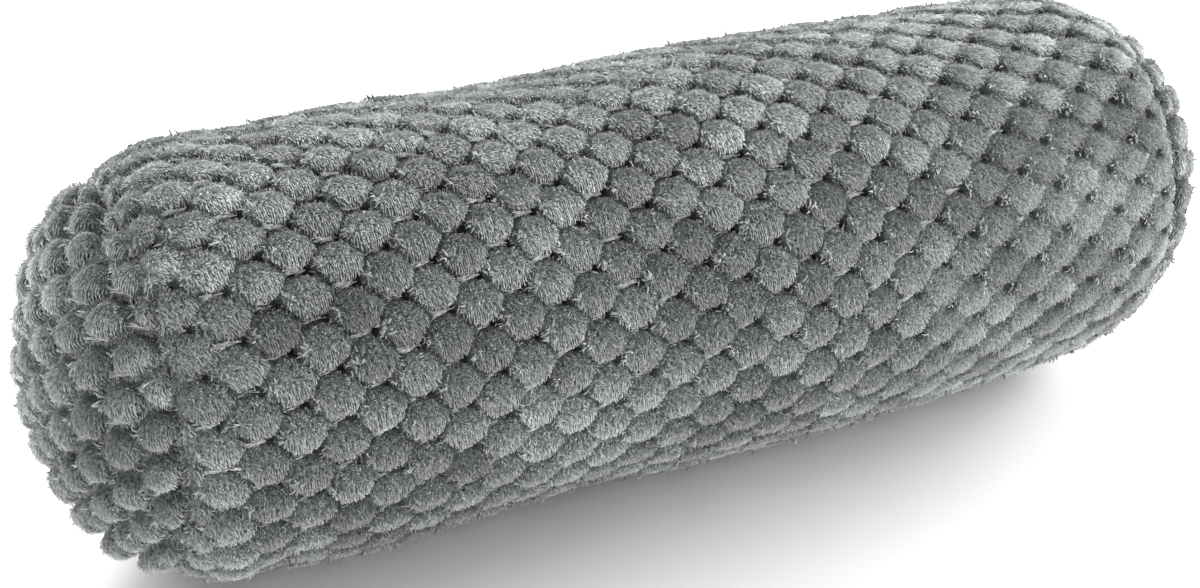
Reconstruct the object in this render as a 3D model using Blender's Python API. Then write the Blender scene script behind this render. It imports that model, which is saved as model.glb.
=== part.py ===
"""Neck roll pillow of carved plush: a filled side panel and two domed end panels.

Metres, +Z up. The roll lies along X and rests on a long flat under its middle.
The origin is the middle of that flat.
"""

import bisect
import math

import bmesh
import bpy
from mathutils import Matrix, Vector

# Driving dimensions of the roll
DIAMETER = 0.168  # over the pads, half way along
SEAM_X = 0.212  # from the middle to each end seam
SEAM_DIAMETER = 0.142  # over the pads beside an end seam
DOME = 0.038  # how far each end stands out past its seam
BARREL = 0.050  # share of the radius that the long barrel loses by the seam
SHOULDER = 0.038  # length beside a seam over which the roll is drawn in
SHOULDER_POWER = 3.6
DOME_POWER = 1.82  # 2 would make each end half an ellipse
FLAT_DEPTH = 0.0025  # how far the roll settles into the flat it rests on
WAIST_X = -0.055  # where the filling is a little slack
WAIST_REACH = 0.080
WAIST_DEPTH = 0.0030
END_LEAN = 0.04  # the right end leans outward at its top by this slope
LEAN_START = 0.10  # from the middle to where the lean begins

# The plush cloth and its pads
CLOTH = 0.0022  # thickness in the carved grooves
PAD_RELIEF = 0.0035  # height of a pad over the grooves
CREASE = 0.0010  # depth of an end seam under the grooves
PAD_TOP = Vector((0.0115, 0.0100))  # a pad's raised top, along and across its row
PAD_PITCH = 0.0285  # from pad to pad along a row
ROW_CLIMB = -0.00165  # how far a row shifts round the roll in one pitch
ROUND_STEPS = (27, 30)  # steps along the two diagonals that lead once round the roll
FIRST_PAD_X = 0.0810
FIRST_PAD_ANGLE = 61.5  # degrees from the top towards the front, which is -Y
END_PAD = Vector((0.0634, 0.0045))  # a pad on an end panel, towards the front and up
END_TURN = 6.0  # degrees by which an end panel's rows are turned
PRESS_FROM = 12.0  # degrees from the bottom within which the pile is pressed level
PRESS_TO = 20.0

# How the solids are made
GAP = 0.0003  # kept between neighbouring solids
MERGE = 0.0009  # shortest edge left where the cloth is cut
ON_SEAM = 0.00001  # nearer than this to a seam, a point is on it
ROLL_STEPS = 60  # steps each way that are tried for a place on the side panel
END_STEPS = 14  # and on an end panel
END_SIDES = 40  # straight cuts that make an end panel's round outline
DOME_SEGMENTS = 48
DOME_RINGS = 5
PROFILE_STEPS = 240

RADIUS = DIAMETER / 2
SEAM_RADIUS = SEAM_DIAMETER / 2
CREASE_RADIUS = SEAM_RADIUS - PAD_RELIEF - CREASE
AXIS_Z = RADIUS - FLAT_DEPTH
INNER_RADIUS = CREASE_RADIUS - CLOTH
INNER_DOME = DOME - PAD_RELIEF - CLOTH - GAP

# The cloth's two diagonals: pads stand half a pitch on in every other row
ALONG = Vector((PAD_PITCH, ROW_CLIMB))
HALF_SUM = sum(ROUND_STEPS) / 2
HALF_DIFFERENCE = (ROUND_STEPS[0] - ROUND_STEPS[1]) / 2
ACROSS = (Vector((0, math.pi * DIAMETER)) - HALF_DIFFERENCE * ALONG) / HALF_SUM
DIAGONAL_A = (ALONG + ACROSS) / 2
DIAGONAL_B = (ACROSS - ALONG) / 2

COLOURS = {
    "filled_side_panel": (0.133, 0.147, 0.145, 1),
    "end_panel_left": (0.182, 0.196, 0.192, 1),
    "end_panel_right": (0.182, 0.196, 0.192, 1),
}


def clear_scene():
    for thing in list(bpy.data.objects):
        bpy.data.objects.remove(thing)


def smooth_step(low, high, value):
    share = min(max((value - low) / (high - low), 0), 1)
    return share * share * (3 - 2 * share)


def plush(name):
    material = bpy.data.materials.new(name + "_plush")
    material.use_nodes = True
    shader = material.node_tree.nodes["Principled BSDF"]
    shader.inputs["Base Color"].default_value = COLOURS[name]
    shader.inputs["Roughness"].default_value = 0.95
    shader.inputs["Metallic"].default_value = 0
    shader.inputs["Sheen Weight"].default_value = 0.4
    return material


# The pad layout on flat cloth
def pad_centre(step):
    return step[0] * DIAGONAL_A + step[1] * DIAGONAL_B


def round_corner(first, second):
    """The point as far from the origin as from both neighbours, where three grooves meet."""
    scale = 0.5 / (first.x * second.y - first.y * second.x)
    x = second.y * first.length_squared - first.y * second.length_squared
    y = first.x * second.length_squared - second.x * first.length_squared
    return Vector((x, y)) * scale


CORNER = (round_corner(DIAGONAL_A, ACROSS), round_corner(ACROSS, DIAGONAL_B))
# A cell's six corners in order: which of the two corner kinds, and of which step away
CELL = ((0, 0, 0), (1, 0, 0), (0, -1, 0), (1, -1, -1), (0, -1, -1), (1, 0, -1))
# The raised top's four corners, and the cell's sides and tips that each one closes
TOP_SIGNS = ((1, 1), (-1, 1), (-1, -1), (1, -1))
TOP_OF_CORNER = (0, 1, None, 2, 3, None)


def lay_pads(mesh, steps, wrap, place):
    """Adds a six-sided cell with a raised, four-cornered pad for every step of the layout."""
    corners = {}

    def corner(kind, step):
        key = (kind, *wrap(step))
        if key not in corners:
            corners[key] = mesh.verts.new(place(pad_centre(step) + CORNER[kind], 0))
        return corners[key]

    row = ALONG.normalized()
    for step in steps:
        rim = [corner(kind, (step[0] + i, step[1] + j)) for kind, i, j in CELL]
        top = []
        for sign_x, sign_y in TOP_SIGNS:
            x = sign_x * PAD_TOP.x / 2
            y = sign_y * PAD_TOP.y / 2
            spot = pad_centre(step) + Vector((x * row.x - y * row.y, x * row.y + y * row.x))
            top.append(mesh.verts.new(place(spot, 1)))
        mesh.faces.new(top)
        for index, sign in enumerate(TOP_OF_CORNER):
            here, after, before = rim[index], rim[(index + 1) % 6], rim[index - 1]
            next_top = TOP_OF_CORNER[(index + 1) % 6]
            if sign is None:
                left, right = TOP_OF_CORNER[index - 1], next_top
                mesh.faces.new((before, here, top[left]))
                mesh.faces.new((here, top[right], top[left]))
                mesh.faces.new((here, after, top[right]))
            elif next_top is not None:
                mesh.faces.new((here, after, top[next_top], top[sign]))


def cut(mesh, point, normal):
    """Cuts the cloth along a plane and drops the side that the normal points to."""
    parts = list(mesh.verts) + list(mesh.edges) + list(mesh.faces)
    bmesh.ops.bisect_plane(
        mesh, geom=parts, dist=1e-6, plane_co=point, plane_no=normal, clear_outer=True
    )


def rim_loops(mesh):
    return [edge for edge in mesh.edges if edge.is_boundary]


# The side panel with its filling
def roll_radius(x):
    """Radius over the pads: a long barrel, drawn in beside the end seams."""
    barrel = BARREL * (x / SEAM_X) ** 2
    near = min(max((abs(x) - SEAM_X + SHOULDER) / SHOULDER, 0), 1)
    drawn_in = (1 - SEAM_RADIUS / RADIUS - BARREL) * near**SHOULDER_POWER
    waist = WAIST_DEPTH * (1 - smooth_step(0, WAIST_REACH, abs(x - WAIST_X)))
    return RADIUS * (1 - barrel - drawn_in) - waist


def wrap_round(step):
    turns = step[1] // ROUND_STEPS[1]
    return (step[0] - turns * ROUND_STEPS[0], step[1] - turns * ROUND_STEPS[1])


def on_tube(spot, height):
    """A point of the flat cloth on a plain tube, before the roll's own radius is known."""
    angle = math.radians(FIRST_PAD_ANGLE) + spot.y / RADIUS
    radius = RADIUS - PAD_RELIEF * (1 - height)
    x = FIRST_PAD_X + spot.x
    return Vector((x, -radius * math.sin(angle), radius * math.cos(angle)))


def tube_to_roll(point):
    angle = math.atan2(-point.y, point.z)
    height = (math.hypot(point.y, point.z) - RADIUS) / PAD_RELIEF + 1
    from_bottom = abs(180 - abs(math.degrees(angle)))
    pressed = 1 - smooth_step(PRESS_FROM, PRESS_TO, from_bottom)
    height = max(min(max(height, 0), 1), pressed)
    radius = roll_radius(point.x) - PAD_RELIEF * (1 - height)
    if abs(point.x) > SEAM_X - ON_SEAM:
        radius = CREASE_RADIUS
    return Vector((point.x, -radius * math.sin(angle), radius * math.cos(angle)))


def end_face(mesh, side):
    """Closes the filled tube at one end: a narrow flat under the seam, then a dome."""
    open_edges = [edge for edge in rim_loops(mesh) if side * edge.verts[0].co.x > 0]
    rings = dome_rings(mesh, side, INNER_RADIUS - GAP, INNER_DOME, SEAM_X)
    bmesh.ops.triangle_fill(mesh, edges=open_edges + ring_edges(mesh, rings[0]), use_beauty=True)


def dome_rings(mesh, side, radius, height, base_x):
    """A plain dome of rings and its cap, from its open rim to its top. Returns the rings."""
    rings = []
    for ring in range(DOME_RINGS):
        angle = ring / DOME_RINGS * math.pi / 2
        x = side * (base_x + height * math.sin(angle))
        reach = radius * math.cos(angle)
        loop = []
        for segment in range(DOME_SEGMENTS):
            turn = 2 * math.pi * segment / DOME_SEGMENTS
            loop.append(mesh.verts.new((x, reach * math.sin(turn), reach * math.cos(turn))))
        rings.append(loop)
    for outer, inner in zip(rings, rings[1:]):
        for k in range(DOME_SEGMENTS):
            after = (k + 1) % DOME_SEGMENTS
            mesh.faces.new((outer[k], outer[after], inner[after], inner[k]))
    top = mesh.verts.new((side * (base_x + height), 0, 0))
    for k in range(DOME_SEGMENTS):
        mesh.faces.new((rings[-1][k], rings[-1][(k + 1) % DOME_SEGMENTS], top))
    return rings


def ring_edges(mesh, ring):
    return [mesh.edges.get((ring[k], ring[(k + 1) % len(ring)])) for k in range(len(ring))]


def filled_side_panel():
    mesh = bmesh.new()
    reach = SEAM_X + PAD_PITCH
    steps = []
    for j in range(ROUND_STEPS[1]):
        for i in range(-ROLL_STEPS, ROLL_STEPS):
            if abs(FIRST_PAD_X + pad_centre((i, j)).x) < reach:
                steps.append((i, j))
    lay_pads(mesh, steps, wrap_round, on_tube)
    for side in (-1, 1):
        cut(mesh, (side * SEAM_X, 0, 0), (side, 0, 0))
    bmesh.ops.remove_doubles(mesh, verts=mesh.verts, dist=MERGE)
    for vert in mesh.verts:
        vert.co = tube_to_roll(vert.co)
    for side in (-1, 1):
        end_face(mesh, side)
    return mesh


# The domed end panels
def dome_profile():
    """An end's outline over the pads, from its top to the seam: arc length, x and radius."""
    points = []
    arc = 0
    for k in range(PROFILE_STEPS + 1):
        angle = math.pi / 2 * (1 - k / PROFILE_STEPS)
        x = SEAM_X + DOME * math.sin(angle) ** (2 / DOME_POWER)
        radius = SEAM_RADIUS * max(math.cos(angle), 0) ** (2 / DOME_POWER)
        if points:
            arc += math.hypot(x - points[-1][1], radius - points[-1][2])
        points.append((arc, x, radius))
    return points


def on_dome(flat, side, profile):
    """Lays a point of the flat end cloth on the dome; its z is its height over the grooves."""
    rim_arc = profile[-1][0]
    arc = min(math.hypot(flat.x, flat.y), rim_arc)
    index = min(max(bisect.bisect(profile, (arc,)), 1), PROFILE_STEPS)
    before, after = profile[index - 1], profile[index]
    share = (arc - before[0]) / (after[0] - before[0])
    x = before[1] + share * (after[1] - before[1])
    radius = before[2] + share * (after[2] - before[2])
    slope = Vector((before[1] - after[1], after[2] - before[2])).normalized()
    sink = PAD_RELIEF - flat.z
    x -= slope.y * sink
    radius -= slope.x * sink
    if arc > rim_arc - ON_SEAM:
        x = SEAM_X + GAP
        radius = CREASE_RADIUS
    x = max(x, SEAM_X + GAP)
    turn = math.atan2(flat.y, flat.x)
    return Vector((side * x, -radius * math.cos(turn), radius * math.sin(turn)))


def end_panel(side):
    mesh = bmesh.new()
    profile = dome_profile()
    rim_arc = profile[-1][0]
    steps = []
    turn = Matrix.Rotation(math.radians(END_TURN), 2)

    def flat_place(spot, height):
        spot = turn @ spot + END_PAD
        return Vector((spot.x, spot.y, height * PAD_RELIEF))

    for i in range(-END_STEPS, END_STEPS):
        for j in range(-END_STEPS, END_STEPS):
            if flat_place(pad_centre((i, j)), 0).length < rim_arc + PAD_PITCH:
                steps.append((i, j))
    lay_pads(mesh, steps, tuple, flat_place)
    for k in range(END_SIDES):
        angle = 2 * math.pi * k / END_SIDES
        out = Vector((math.cos(angle), math.sin(angle), 0))
        cut(mesh, out * rim_arc * math.cos(math.pi / END_SIDES), out)
    for vert in [v for v in mesh.verts if v.is_boundary]:
        vert.co.z = 0
        vert.co *= rim_arc / vert.co.length
    bmesh.ops.remove_doubles(mesh, verts=mesh.verts, dist=MERGE)
    for vert in mesh.verts:
        vert.co = on_dome(vert.co, side, profile)
    open_edges = rim_loops(mesh)
    rings = dome_rings(mesh, side, INNER_RADIUS, INNER_DOME, SEAM_X + GAP)
    bmesh.ops.triangle_fill(mesh, edges=open_edges + ring_edges(mesh, rings[0]), use_beauty=True)
    return mesh


# The way the roll lies
def settle(mesh):
    """Leans the right end, lifts the roll on its flat and cuts that flat level."""
    for vert in mesh.verts:
        lean = END_LEAN * smooth_step(LEAN_START, SEAM_X, vert.co.x)
        vert.co.x += lean * vert.co.z
        vert.co.z += AXIS_Z
    if min(vert.co.z for vert in mesh.verts) < 0:
        cut(mesh, (0, 0, 0), (0, 0, -1))
        bmesh.ops.holes_fill(mesh, edges=rim_loops(mesh), sides=0)


def add_node(name, mesh):
    settle(mesh)
    bmesh.ops.triangulate(mesh, faces=mesh.faces)
    bmesh.ops.recalc_face_normals(mesh, faces=mesh.faces)
    data = bpy.data.meshes.new(name)
    mesh.to_mesh(data)
    mesh.free()
    node = bpy.data.objects.new(name, data)
    bpy.context.scene.collection.objects.link(node)
    data.materials.append(plush(name))


clear_scene()
add_node("filled_side_panel", filled_side_panel())
add_node("end_panel_left", end_panel(-1))
add_node("end_panel_right", end_panel(1))
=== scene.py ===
"""The looks of the neck roll pillow: cloth with rounded pads, and its plush pile.

Everything is in metres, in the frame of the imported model. The roll lies along X, its
front is -Y, and the middle of the flat that it rests on is the origin. Spots are places on
a panel's flat cloth, and a place on a pad is measured from its middle, along its row and
across it.
"""

import itertools
import math
from types import SimpleNamespace

import bpy
import numpy as np
from mathutils import Matrix, Vector
from mathutils.bvhtree import BVHTree


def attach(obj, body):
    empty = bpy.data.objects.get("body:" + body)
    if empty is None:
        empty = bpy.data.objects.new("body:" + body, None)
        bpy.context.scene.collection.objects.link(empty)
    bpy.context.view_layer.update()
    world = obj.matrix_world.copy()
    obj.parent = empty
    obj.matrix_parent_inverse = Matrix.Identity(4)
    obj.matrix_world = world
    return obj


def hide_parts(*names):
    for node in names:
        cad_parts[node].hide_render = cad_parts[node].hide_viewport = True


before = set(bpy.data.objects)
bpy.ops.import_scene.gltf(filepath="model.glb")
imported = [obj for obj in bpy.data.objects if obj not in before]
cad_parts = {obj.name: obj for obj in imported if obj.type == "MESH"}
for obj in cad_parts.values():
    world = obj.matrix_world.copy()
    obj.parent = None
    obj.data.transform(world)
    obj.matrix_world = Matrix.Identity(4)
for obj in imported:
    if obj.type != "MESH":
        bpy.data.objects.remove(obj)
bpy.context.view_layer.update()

# The roll, as in the CAD model
DIAMETER = 0.168  # over the pads, half way along
SEAM_X = 0.212  # from the middle to each end seam
SEAM_DIAMETER = 0.142  # over the pads beside an end seam
DOME = 0.038  # how far each end stands out past its seam
BARREL = 0.050  # share of the radius that the long barrel loses by the seam
SHOULDER = 0.038  # length beside a seam over which the roll is drawn in
SHOULDER_POWER = 3.6
DOME_POWER = 1.82
FLAT_DEPTH = 0.0025  # how far the roll settles into the flat it rests on
WAIST_X = -0.055  # a slight waist
WAIST_REACH = 0.080
WAIST_DEPTH = 0.0030
END_LEAN = 0.04  # of the right end, for each metre above the axis
LEAN_START = 0.10
RADIUS = DIAMETER / 2
SEAM_RADIUS = SEAM_DIAMETER / 2
AXIS_Z = RADIUS - FLAT_DEPTH

# The layout of the pads, as in the CAD model
PAD_PITCH = 0.0285  # from pad to pad along a row
ROW_CLIMB = -0.00165  # round the roll, from pad to pad
ROUND_STEPS = (27, 30)  # steps along the two diagonals that lead once round the roll
FIRST_PAD = np.array((0.0810, math.radians(61.5) * RADIUS))  # one pad's middle
END_PAD = np.array((0.0634, 0.0045))  # and one's on each end
END_TURN = math.radians(6.0)  # of the rows on the ends
PRESS_FROM = 12.0  # degrees from the bottom within which the pile is pressed level
PRESS_TO = 20.0
ALONG = np.array((PAD_PITCH, ROW_CLIMB))
HALF_SUM = sum(ROUND_STEPS) / 2
HALF_DIFFERENCE = (ROUND_STEPS[0] - ROUND_STEPS[1]) / 2
ACROSS = (np.array((0, math.pi * DIAMETER)) - HALF_DIFFERENCE * ALONG) / HALF_SUM
DIAGONAL_A = (ALONG + ACROSS) / 2
DIAGONAL_B = (ACROSS - ALONG) / 2
DIAGONALS = np.stack([DIAGONAL_A, DIAGONAL_B])
END_COS, END_SIN = math.cos(END_TURN), math.sin(END_TURN)
END_TURNED = np.array(((END_COS, -END_SIN), (END_SIN, END_COS)))

# Where the cloth is stretched and its pads are drawn apart
STRETCHED = (0.03, 0.15)  # along the roll, where this begins and where it is full
LEAST_STRETCHED_TURN = math.radians(-65)  # round the roll from its top
LEAST_STRETCHED = 0.4  # share of the stretch there
SEAM_STRETCH = 0.5  # share beside the seams
SEAM_STRETCH_REACH = 0.05
APART_VARIES = 0.22  # from pad to pad
APART_LESS = 0.1
END_APART = 0.85  # on both ends
END_APART_VARIES = 0.15

# The shape of a pad
EDGES = (  # half a groove's width towards each neighbour, and what stretching adds
    (DIAGONAL_A, 0.0002, 0.0008),
    (DIAGONAL_B, 0.0003, 0.0018),
    (ACROSS, 0.0008, 0.0013),
)
ROUNDNESS = (12, 4)  # of pads that touch, and of pads that are drawn apart
GENTLE, STEEP = 4.2, 8.0  # how a pad's two sides fall off
CREST = 0.6  # the lower, the fuller the pads
TILT = 0.22  # how much lower a pad is at its gentle side
PAD_HALF = (0.0098, 0.0088)  # half a pad's width and height
LEFT_TIP = np.array((-0.0101, 0.0005))  # where three pads meet, left of a pad's middle
WOBBLE = 0.07  # how uneven the pads' outlines are
WOBBLE_SIZE = 0.0055

# Heights from the level of the CAD pads' tops
CLOTH_TOP = -0.0004  # bare cloth in the middle of a pad
CLOTH_GROOVE = -0.0039  # above and below the pads
CLOTH_SIDE_GROOVE = -0.0023  # at their slanting sides, where the grooves are shallow
SLANTING_TO = (0.0045, 0.0075)  # where those end, up or down from a pad's middle
BRIDGED_SIDES = (0.75, 0.95)  # how squarely a place lies towards one of the diagonals
GROOVE_VARIES = 0.40  # how much shallower grooves are in places
GROOVE_PLACES = 0.014
DEEPER_TO = (-0.19, -0.05)  # along the roll, where the deeper grooves at the left end fade
SEAM_SINK = 0.0016  # how far a seam lies under the grooves
SEAM_EDGE = 0.0050  # width beside a seam over which the cloth turns in
SEAM_CLEAR = 0.0002  # left free at a seam
END_PAD_LIFT = {-1: 0.0012, 1: 0.0}  # the left end's pads stand out more
END_SHALLOWER = {-1: -0.35, 1: 0.30}  # the grooves there; below 0 they are deeper
PAD_UNEVEN = 0.0006  # how much higher or lower single pads stand
CAVITY_DEPTH = 0.0026  # how far the cloth sinks where the pile parts at a left tip
CAVITY = (0.0013, 0.0028)  # where the parting is fully open, and where it ends
CAVITY_LESS = 0.6  # how much shallower it is where pads are apart
CLOTH_STEP = 0.0016  # the cloth's grid
CLOTH_THICK = 0.0020  # of the ends at their seams
END_RINGS = 46
END_SEGMENTS = 260
FLOOR_GAP = 0.0006  # bare cloth over the floor, where the pile is pressed
PILE_FLOOR_GAP = 0.0001

# The pile
SIDE_BLADES = 570_000
END_BLADES = 55_000
BARE_UNDER = 9.0  # degrees from the bottom within which no pile shows
WALE = 0.00085  # the pile grows in rows across the pads' rows, this far apart
WALE_BENDS = 0.25  # how far they bend, in rows
WALE_BEND_SIZE = 0.012
WALE_SPREAD = 0.12  # how far fibres stand off their row
BLADE_WIDTH = 0.00038
BLADE_WIDTHS = (0.75, 1.25)
BLADE_TURN = 0.35  # about their length, at random
POINTED_SHARE = 0.5  # the other blades have their wide end out
PILE_LENGTH = 0.0012  # where it stands
PILE_LENGTHS = (0.75, 1.2)  # at random, times the lengths here
PILE_SHORT = 0.0008  # in the grooves
PILE_LYING = 0.0019  # where it lies down
PARTED_SHORTER = 0.8
FRINGE = 0.0008  # how much longer it is at a pad's right tip
LEAN_STANDING = math.radians(38)  # from upright
LEAN_LYING = math.radians(70)
LIE_BEARING = (math.radians(89), math.radians(62))  # from the rows: pads that touch, and apart
BEARING_VARIES = 0.12  # from pad to pad
DRIFT = 0.15  # how far bearing and lean change slowly over the cloth
DRIFT_SIZE = 0.030
RUFFLE = (0.9, 0.30)  # how far standing pile's bearing and lean change over a short way
RUFFLE_SIZE = 0.0024
BUNDLE = 0.0009  # fibres stick together in bundles this wide
BUNDLE_SHAPE = np.array((1, 1.6))  # times that, along a row and across it
BUNDLE_BENDS = 0.0006
BUNDLE_BEND_SIZE = 0.0015
BUNDLE_TURN = (2.8, 0.5)  # how far the bearing and lean of standing bundles differ
TIDY_LYING = 0.94  # how much less of all this the lying pile has
FIBRE_LEAN_VARIES = 0.08
COMBED_TO = (0.75, 1.25)  # angle from the top within which the pile is combed down
COMBED_PLACES = 0.035  # size of the combed patches elsewhere
SEAM_FLUFF = 0.0028  # the pile leans over a seam from this far
FLUFF_LENGTH = 0.0006
FLUFF_LEAN = 0.9  # at least, in radians
FLUFF_PULL = 1.5  # how strongly it points to the seam

# The pile's tones, with painted shade and painted sheen
TONE_VARIES = 0.8
WALE_TONE = 0.7  # from row to row, where the pile is combed
LYING_SHEEN = 0.80  # painted sheen: how much paler the lying pile is painted where it is combed, most on top of the roll
# painted sheen: how much paler the fringe at a pad's right tip is painted
FRINGE_SHEEN = 0.7
PALE_FLUFF = 0.5
PALE_TUFT = 0.3
ROOT_LIFTED = (0.25, 0.35)  # how much lighter the roots are, and more where it is combed, which is painted sheen of the lying pile
# painted shade: how much darker the pile is painted in the grooves between pads
GROOVE_PAINTED_SHADE = 0.10
SHADED_RIM = (0.65, 0.95)  # from here the steep side of a pad that is apart is painted darker, as painted shade

# Tufts of curls at the pads' left tips
TUFT = np.array((-0.0074, 0.0004))
TUFT_SIZE = 0.0026
TUFT_LENGTH = 0.0006  # how much longer the pile is there
CURLS = 12  # locks of fibres in each tuft
CURL_LENGTH = 0.0040
CURL_LENGTHS = (0.6, 1.1)
CURL_WIDTH = 0.0009
CURL_SEGMENTS = 3
CURL_SPREAD = 0.0014
CURL_LIFT = 0.0004
CURL_START = (0.1, 0.8)  # angle from upright at the root
CURL_BEND = (1.0, 2.2)
CURL_TURN = 1.1
CURL_TONES = (0.1, 0.9)
CURL_PALE = 0.35
CURL_SHARE = 0.7  # the higher, the more curls are kept
COMBED_CURLS_LOST = 0.7
TUFT_FROM_SEAM = 0.003

# Long fibres that lie in the grooves from the pads' right tips
BRUSH_FIBRES = 46
BRUSH_WIDTH = 0.00034
BRUSH_LENGTH = (0.0020, 0.0036)
BRUSH_START = np.array((0.0014, 0))  # this far inside the right tip
BRUSH_REACH = 0.65  # share of the groove along which they start
BRUSH_SPREAD = (0.0009, 0.0004)  # across the groove, at its two ends
BRUSH_HEIGHT = (-0.0009, -0.0028)  # over the pads, at its two ends
BRUSH_HEIGHT_VARIES = 0.0003
BRUSH_GATHERS = 220  # how sharply they turn in, for each metre off its middle
BRUSH_TURN = 0.09
BRUSH_DOWN = -0.10
BRUSH_DOWN_VARIES = 0.06
BRUSH_SHARE = 0.15  # of the fibres, at least
BRUSH_TONES = (0.2, 0.9)
BRUSH_PALE = (0.05, 0.3)
BRUSH_LIFTED = 0.15
BRUSH_FROM_SEAM = 0.004
MOST_PRESSED = 0.3  # tufts and brushes are left out where it is pressed more

# Colours
# darker towards the root: painted shade deep in the pile
PILE_ROOT_IN_SHADE = (0.185, 0.203, 0.201)
PILE_TIP = (0.45, 0.462, 0.445)
PILE_PALE = 1.7  # how many times lighter the palest pile is
PILE_GRAIN = 0.3
# the ground under the pile is kept very dark: painted shade deep in the pile
GROUND_IN_SHADE = (0.030, 0.0335, 0.0335)
GROUND_PALE = 5.0
GROUND_GRAIN = 1.6
BROAD_SPECKS = 22  # for each metre
FINE_SPECKS = 800

# The simulated filling
SHELL_VOXEL = 0.0055
SHELL_SEGMENTS = 96
SHELL_LUMPS = 0.0016  # unevenness that the filling starts with
SHELL_LUMP_SIZE = 0.055
PRESSURE = 4.0
CLOTH_FRAMES = 20
MOST_GIVE = 0.0022  # how far the cloth may stand from the plain roll
END_GIVE = 0.5  # share of that on the ends, whose outline shows
RAYS_FROM = 0.03  # how far inside the seams the rays to the ends start
GIVE_STEP = 0.006

# The camera, found by fitting the outline and the seam in the photograph
PHOTO_WIDTH = 1200
FOCAL_PIXELS = 1943
AZIMUTH = math.radians(27.23)
ELEVATION = math.radians(25.98)
DISTANCE = 9.323 * RADIUS
ASIDE = -0.232 * RADIUS
RISE = -0.157 * RADIUS
SENSOR = 36.0


def unit(vectors):
    return vectors / np.maximum(np.linalg.norm(vectors, axis=-1, keepdims=True), 1e-12)


def eased(low, high, value):
    share = np.clip((value - low) / (high - low), 0, 1)
    return share * share * (3 - 2 * share)


def between(low, high, share):
    return low + (high - low) * share


def hashed(cell, seed):
    """A number from -1 to 1 for each row of whole numbers."""
    mixed = np.full(len(cell), seed * 2654435761, np.int64)
    for axis, prime in zip(range(cell.shape[1]), (73856093, 19349663, 83492791)):
        mixed ^= cell[:, axis] * prime
    mixed = ((mixed ^ (mixed >> 13)) * 1274126177) & 0xFFFFFFFF
    mixed ^= mixed >> 16
    return (mixed & 0xFFFF) / 32767.5 - 1


def noise(points, size, seed):
    """Smooth random numbers that change over about size metres."""
    scaled = points / size + seed * 17.31
    cell = np.floor(scaled).astype(np.int64)
    part = scaled - cell
    part = part * part * (3 - 2 * part)
    total = np.zeros(len(points))
    for corner in itertools.product((0, 1), repeat=points.shape[1]):
        weight = np.prod(np.where(corner, part, 1 - part), axis=1)
        total += weight * hashed(cell + np.array(corner), seed)
    return total


def grid(first, second):
    """All pairs of two rows of numbers."""
    return np.stack(np.meshgrid(first, second, indexing="ij"), -1)


# The layout on flat cloth
def to_pad(spots):
    """Each spot's nearest pad, as steps of the layout, and its place from that pad's middle."""
    low = np.floor(spots @ np.linalg.inv(DIAGONALS))
    best = np.full(len(spots), np.inf)
    step = np.zeros_like(low)
    for corner in itertools.product((0, 1), repeat=2):
        tried = low + corner
        away = ((spots - tried @ DIAGONALS) ** 2).sum(1)
        nearer = away < best
        best[nearer] = away[nearer]
        step[nearer] = tried[nearer]
    return step.astype(np.int64), spots - step @ DIAGONALS


def all_middles(most):
    """The middles of all pads that are up to most steps away."""
    steps = np.arange(-most, most + 1)
    return grid(steps, steps).reshape(-1, 2) @ DIAGONALS


def pad_gauge(place, apart):
    """0 in a pad's middle and 1 at its outline; apart is 0 where pads touch and 1 where not."""
    roundness = between(*ROUNDNESS, apart)
    total = np.zeros(len(place))
    for neighbour, gap, stretched in EDGES:
        length = np.linalg.norm(neighbour)
        share = np.abs(place @ neighbour) / length / (length / 2 - gap - stretched * apart)
        total += share**roundness
    return total ** (1 / roundness)


def steep_share(place, apart, steep_way):
    """1 at a pad's steep side: below where pads touch, and mostly left where they are apart."""
    below = eased(-0.4, 0.5, place[:, 1] / PAD_HALF[1])
    left = eased(-0.5, 0.5, place / PAD_HALF @ steep_way)
    return between(below, left, apart)


def pad_rise(gauge, steep):
    """Height of the bare cloth, from 0 in a groove to 1 on a pad."""
    steepness = between(GENTLE, STEEP, steep)
    fallen = 1 - TILT * (1 - steep) * eased(0.2, 1.0, gauge)
    return (1 - np.minimum(gauge, 1) ** steepness) ** CREST * fallen


# The plain roll under the pads
def roll_radius(x):
    barrel = BARREL * (x / SEAM_X) ** 2
    near = np.clip((np.abs(x) - SEAM_X + SHOULDER) / SHOULDER, 0, 1)
    drawn_in = (1 - SEAM_RADIUS / RADIUS - BARREL) * near**SHOULDER_POWER
    waist = WAIST_DEPTH * (1 - eased(0, WAIST_REACH, np.abs(x - WAIST_X)))
    return RADIUS * (1 - barrel - drawn_in) - waist


def end_outline():
    """An end's outline over the pads, from its top to the seam: arc length, x and radius."""
    angle = np.linspace(math.pi / 2, 0, 400)
    x = SEAM_X + DOME * np.sin(angle) ** (2 / DOME_POWER)
    radius = SEAM_RADIUS * np.maximum(np.cos(angle), 0) ** (2 / DOME_POWER)
    hop = np.hypot(np.diff(x), np.diff(radius))
    return np.concatenate([[0], np.cumsum(hop)]), x, radius


def settle(points):
    """Leans the right end, and lifts the roll so that its flat is at the floor."""
    out = points.copy()
    out[:, 0] += END_LEAN * eased(LEAN_START, SEAM_X, points[:, 0]) * points[:, 2]
    out[:, 2] += AXIS_Z
    return out


def round_axis(x, radius, angle):
    """Points round the roll's axis; an angle of 0 is the top and it grows towards the front."""
    return np.stack([x, -radius * np.sin(angle), radius * np.cos(angle)], -1)


def turn_in(distance):
    """0 at a seam, and 1 where the cloth has its full height."""
    share = np.clip(distance / SEAM_EDGE, 0, 1)
    return np.sqrt(share * (2 - share))


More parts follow.
